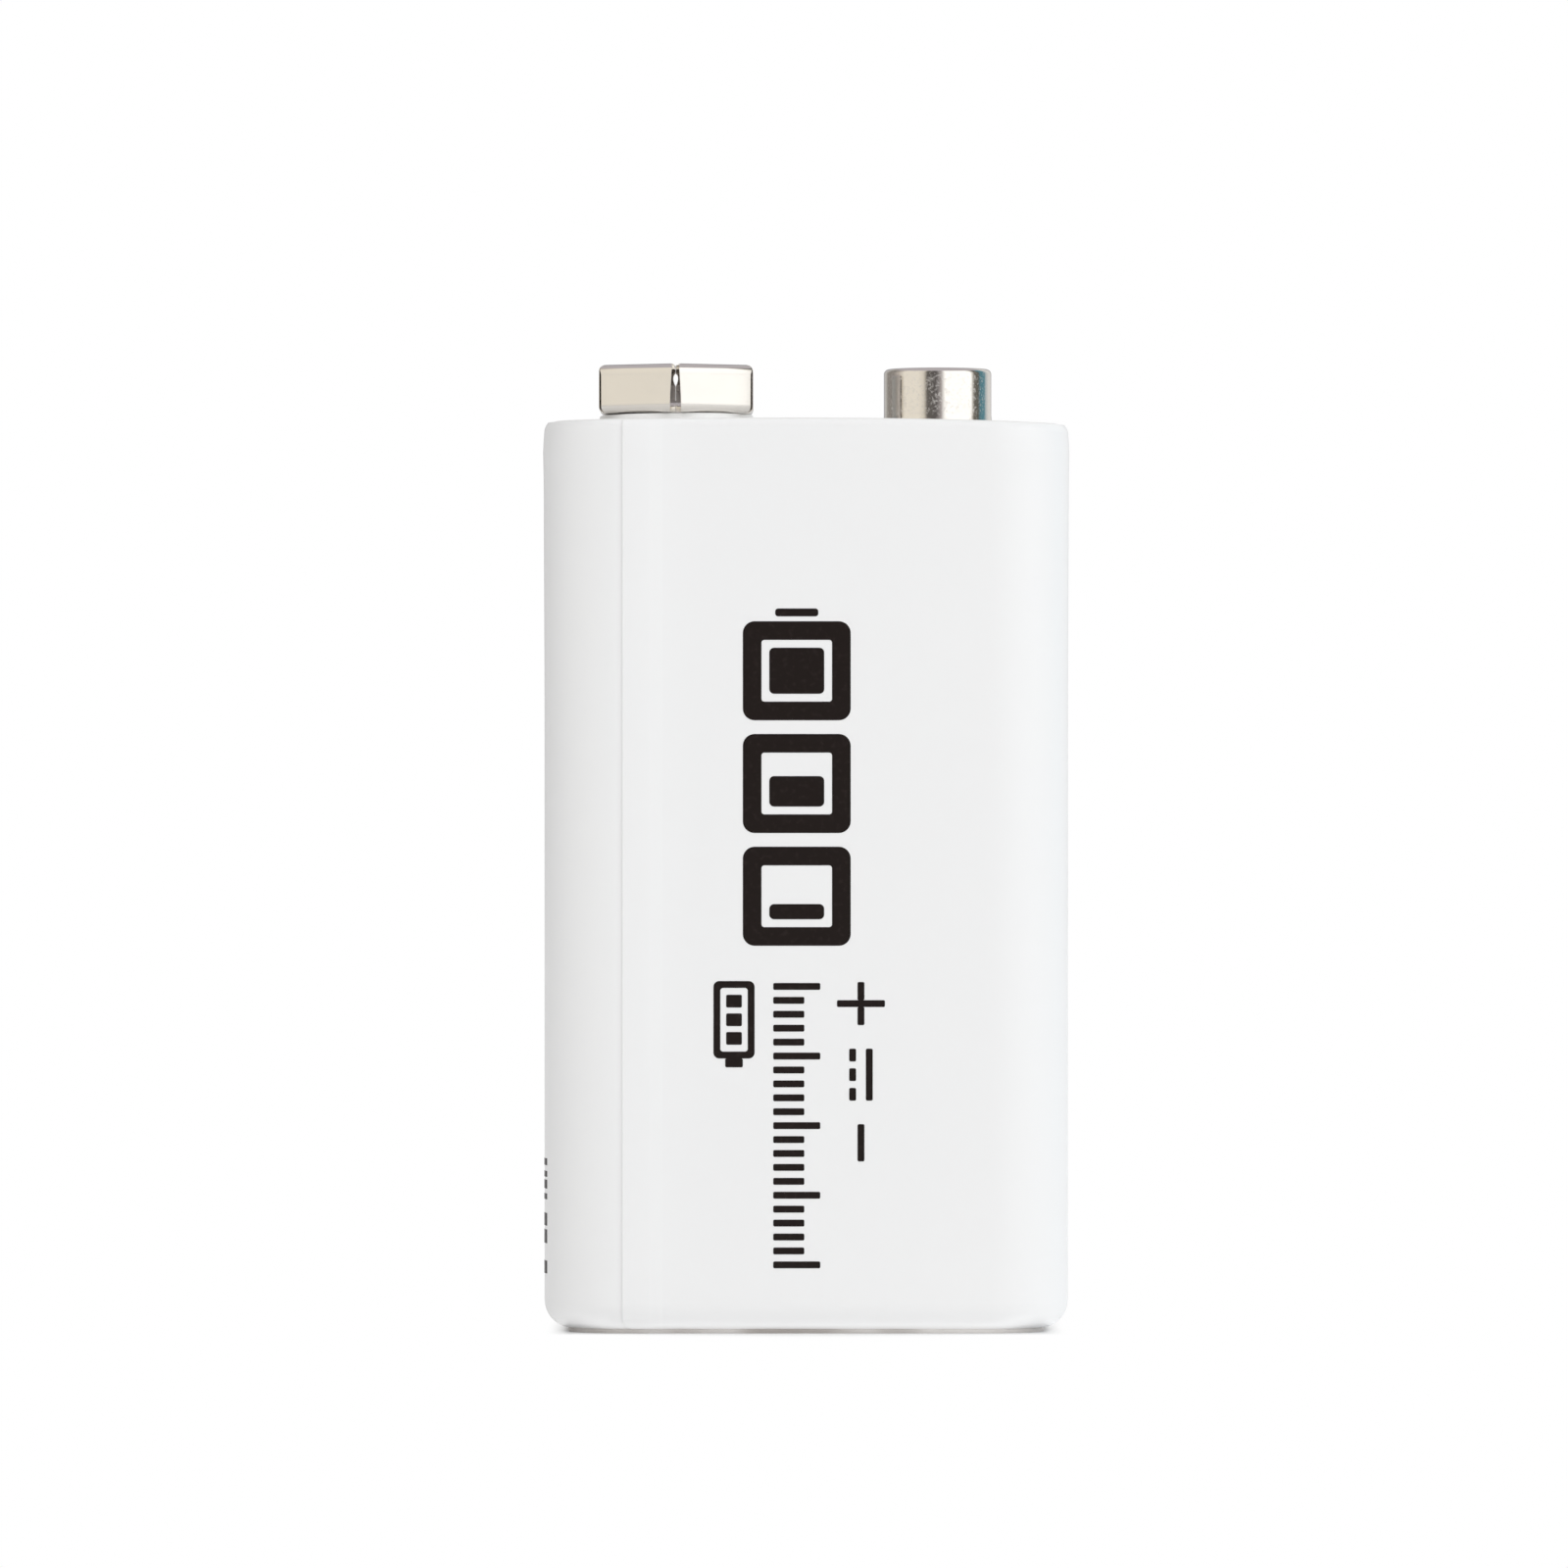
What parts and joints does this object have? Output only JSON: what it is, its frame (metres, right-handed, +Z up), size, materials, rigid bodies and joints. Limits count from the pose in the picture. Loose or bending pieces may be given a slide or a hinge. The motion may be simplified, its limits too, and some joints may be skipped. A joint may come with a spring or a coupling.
{
  "type": "nine volt battery",
  "caption": "Rounded upright block in a glossy white label film, with a six-petal snap socket and a round snap stud on top, for powering small electronics.",
  "frame": {"origin": "middle of the underside of the foot that the battery stands on", "axes": "+Z up, towards the terminals; +X towards the round positive stud; +Y towards the back, away from the lapped film seam"},
  "size_m": [0.0254, 0.0167, 0.047],
  "materials": {
    "white_film": "glossy white label film",
    "white_case": "moulded white, satin",
    "white_cover": "moulded white, satin",
    "nickel_plate": "bright nickel plate on steel sheet",
    "rivet_metal": "nickel-plated, semi-bright",
    "nickel_strip": "rolled nickel strip, satin",
    "board_laminate": "green solder mask over glass laminate",
    "chip_resin": "moulded black resin",
    "fuse_body": "dark green laminate with tinned ends",
    "resistor_ceramic": "black glaze with tinned ends",
    "capacitor_ceramic": "tan ceramic with tinned ends",
    "pouch_foil": "formed laminate foil, satin",
    "aluminium_tab": "bare aluminium strip",
    "adhesive_sheet": "soft double-sided adhesive",
    "insulating_card": "stiff insulating card",
    "grey_foam": "closed-cell foam"
  },
  "bodies": {
    "root": {"label_film": "white_film", "case_shell": "white_case", "top_cover": "white_cover", "negative_crown": "nickel_plate", "positive_stud": "nickel_plate", "negative_rivet": "rivet_metal", "positive_rivet": "rivet_metal", "negative_strap": "nickel_strip", "positive_strap": "nickel_strip", "protection_board": "board_laminate", "protection_chip": "chip_resin", "switch_chip": "chip_resin", "resettable_fuse": "fuse_body", "resistor_1": "resistor_ceramic", "resistor_2": "resistor_ceramic", "resistor_3": "resistor_ceramic", "capacitor_1": "capacitor_ceramic", "capacitor_2": "capacitor_ceramic", "front_cell": "pouch_foil", "rear_cell": "pouch_foil", "front_positive_tab": "aluminium_tab", "front_negative_tab": "nickel_strip", "rear_positive_tab": "aluminium_tab", "rear_negative_tab": "nickel_strip", "cell_adhesive": "adhesive_sheet", "tab_insulator": "insulating_card", "front_foam_strip": "grey_foam", "rear_foam_strip": "grey_foam", "bottom_cushion": "grey_foam"}
  },
  "joints": []
}
